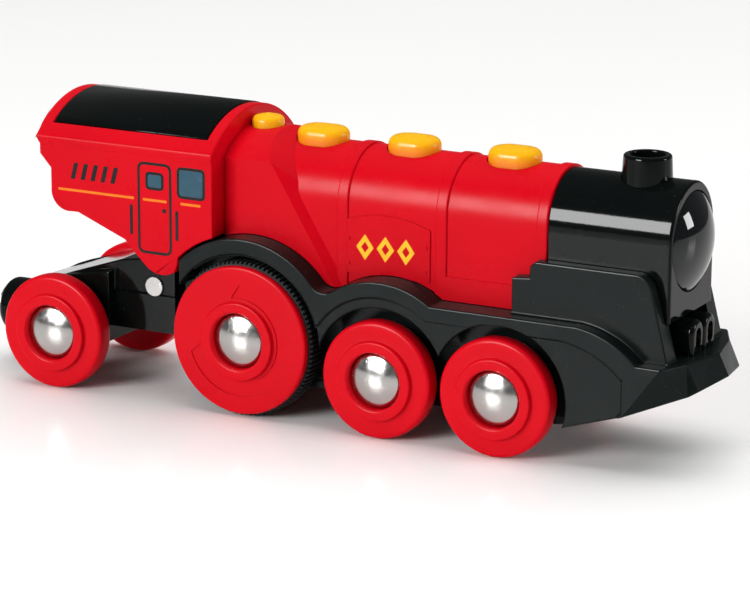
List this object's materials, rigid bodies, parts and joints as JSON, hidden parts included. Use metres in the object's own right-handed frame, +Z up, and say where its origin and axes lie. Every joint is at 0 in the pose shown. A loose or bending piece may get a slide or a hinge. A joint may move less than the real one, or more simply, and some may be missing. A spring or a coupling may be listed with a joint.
{
  "type": "toy train locomotive",
  "caption": "Battery toy steam locomotive for wooden track: red cab and boiler, black smokebox and footplate, geared drive wheels, swinging rear truck, magnet couplings and top push buttons.",
  "frame": {"origin": "centre of the overall box in plan, on the running surface under the wheels", "axes": "+X forward, towards the chimney and headlight; +Y to the locomotive's left; +Z up"},
  "size_m": [0.1456, 0.0344, 0.0534],
  "materials": {
    "red_plastic": "glossy moulded ABS",
    "wheel_plastic": "satin-gloss moulded wheel plastic",
    "black_gloss": "high-gloss black moulding",
    "black_satin": "satin black moulding",
    "yellow_plastic": "glossy yellow button plastic",
    "tyre_rubber": "matt ribbed rubber",
    "cap_metal": "polished domed steel",
    "steel": "bright drawn steel",
    "magnet_metal": "nickel-plated magnet",
    "brass": "bright brass",
    "lamp_clear": "clear moulded dome",
    "reflector": "metallised reflector",
    "led": "milky epoxy lamp",
    "board": "green solder mask",
    "switch": "black switch bodies",
    "gear_nylon": "natural acetal",
    "battery_wrap": "printed cell sleeve"
  },
  "bodies": {
    "body": {"chassis": "black_satin", "bottom_plate": "black_satin", "bottom_screws": "steel", "boiler_shell": "red_plastic", "smokebox": "black_gloss", "chimney": "black_gloss", "headlight_lens": "lamp_clear", "headlight_reflector": "reflector", "headlight_led": "led", "cab_shell": "red_plastic", "roof_panel": "black_gloss", "circuit_board": "board", "button_switches": "switch", "battery": "battery_wrap", "battery_contacts": "brass", "speaker": "switch", "motor": "steel", "gearbox_plates": "gear_nylon", "gear_pins": "steel", "front_coupling": "black_gloss", "coupling_pins": "brass", "king_pin": "steel", "middle_axle": "steel", "middle_caps": "cap_metal", "front_axle": "steel", "front_caps": "cap_metal"},
    "drive_wheelset": {"drive_axle": "steel", "drive_gear": "gear_nylon", "drive_wheel_right": "wheel_plastic", "drive_wheel_left": "wheel_plastic", "drive_tyre_right": "tyre_rubber", "drive_tyre_left": "tyre_rubber", "drive_caps": "cap_metal"},
    "first_idler": {"first_gear": "gear_nylon"},
    "second_idler": {"second_gear": "gear_nylon"},
    "motor_rotor": {"motor_shaft": "steel", "motor_pinion": "gear_nylon"},
    "swivel": {"swivel_block": "black_satin"},
    "truck": {"rear_truck": "black_gloss", "truck_base": "black_gloss", "cross_pin": "steel", "rear_magnet": "magnet_metal", "rear_axle": "steel", "rear_caps": "cap_metal"},
    "start_button": {"start_button": "yellow_plastic"},
    "button_1": {"push_button_1": "yellow_plastic"},
    "button_2": {"push_button_2": "yellow_plastic"},
    "button_3": {"push_button_3": "yellow_plastic"},
    "middle_wheel_right": {"middle_wheel_right": "wheel_plastic"},
    "middle_wheel_left": {"middle_wheel_left": "wheel_plastic"},
    "front_wheel_right": {"front_wheel_right": "wheel_plastic"},
    "front_wheel_left": {"front_wheel_left": "wheel_plastic"},
    "rear_wheel_right": {"rear_wheel_right": "wheel_plastic"},
    "rear_wheel_left": {"rear_wheel_left": "wheel_plastic"}
  },
  "joints": [
    {"name": "drive_roll", "type": "hinge", "parent": "body", "child": "drive_wheelset", "pos_m": [-0.01365, 0, 0.01405], "axis": [0, 1, 0], "continuous": true},
    {"name": "first_gear_spin", "type": "hinge", "parent": "body", "child": "first_idler", "pos_m": [-0.01693, 0.0012, 0.02216], "axis": [0, 1, 0], "continuous": true},
    {"name": "second_gear_spin", "type": "hinge", "parent": "body", "child": "second_idler", "pos_m": [-0.01971, 0.0012, 0.03072], "axis": [0, 1, 0], "continuous": true},
    {"name": "motor_spin", "type": "hinge", "parent": "body", "child": "motor_rotor", "pos_m": [-0.02788, 0.0012, 0.03506], "axis": [0, 1, 0], "continuous": true},
    {"name": "middle_roll_right", "type": "hinge", "parent": "body", "child": "middle_wheel_right", "pos_m": [0.01365, -0.01395, 0.0105], "axis": [0, 1, 0], "continuous": true},
    {"name": "middle_roll_left", "type": "hinge", "parent": "body", "child": "middle_wheel_left", "pos_m": [0.01365, 0.01395, 0.0105], "axis": [0, 1, 0], "continuous": true},
    {"name": "front_roll_right", "type": "hinge", "parent": "body", "child": "front_wheel_right", "pos_m": [0.03645, -0.01395, 0.0105], "axis": [0, 1, 0], "continuous": true},
    {"name": "front_roll_left", "type": "hinge", "parent": "body", "child": "front_wheel_left", "pos_m": [0.03645, 0.01395, 0.0105], "axis": [0, 1, 0], "continuous": true},
    {"name": "rear_roll_right", "type": "hinge", "parent": "truck", "child": "rear_wheel_right", "pos_m": [-0.05295, -0.01395, 0.0105], "axis": [0, 1, 0], "continuous": true},
    {"name": "rear_roll_left", "type": "hinge", "parent": "truck", "child": "rear_wheel_left", "pos_m": [-0.05295, 0.01395, 0.0105], "axis": [0, 1, 0], "continuous": true},
    {"name": "truck_swing", "type": "hinge", "parent": "body", "child": "swivel", "pos_m": [-0.03135, 0, 0.0194], "axis": [0, 0, 1], "range_deg": [-14, 14]},
    {"name": "truck_rock", "type": "hinge", "parent": "swivel", "child": "truck", "pos_m": [-0.03585, 0, 0.0194], "axis": [0, 1, 0], "range_deg": [-5, 5]},
    {"name": "start_button_press", "type": "slide", "parent": "body", "child": "start_button", "axis": [0, 0, -1], "range_m": [0, 0.0012], "stiffness_N_per_m": 300, "springref_m": -0.001},
    {"name": "button_1_press", "type": "slide", "parent": "body", "child": "button_1", "axis": [0, 0, -1], "range_m": [0, 0.0012], "stiffness_N_per_m": 300, "springref_m": -0.001},
    {"name": "button_2_press", "type": "slide", "parent": "body", "child": "button_2", "axis": [0, 0, -1], "range_m": [0, 0.0012], "stiffness_N_per_m": 300, "springref_m": -0.001},
    {"name": "button_3_press", "type": "slide", "parent": "body", "child": "button_3", "axis": [0, 0, -1], "range_m": [0, 0.0012], "stiffness_N_per_m": 300, "springref_m": -0.001}
  ],
  "couplings": [
    {"joint": "first_gear_spin", "follows": "drive_roll", "ratio": -2.5},
    {"joint": "second_gear_spin", "follows": "drive_roll", "ratio": 6.5},
    {"joint": "motor_spin", "follows": "drive_roll", "ratio": -20.222}
  ]
}
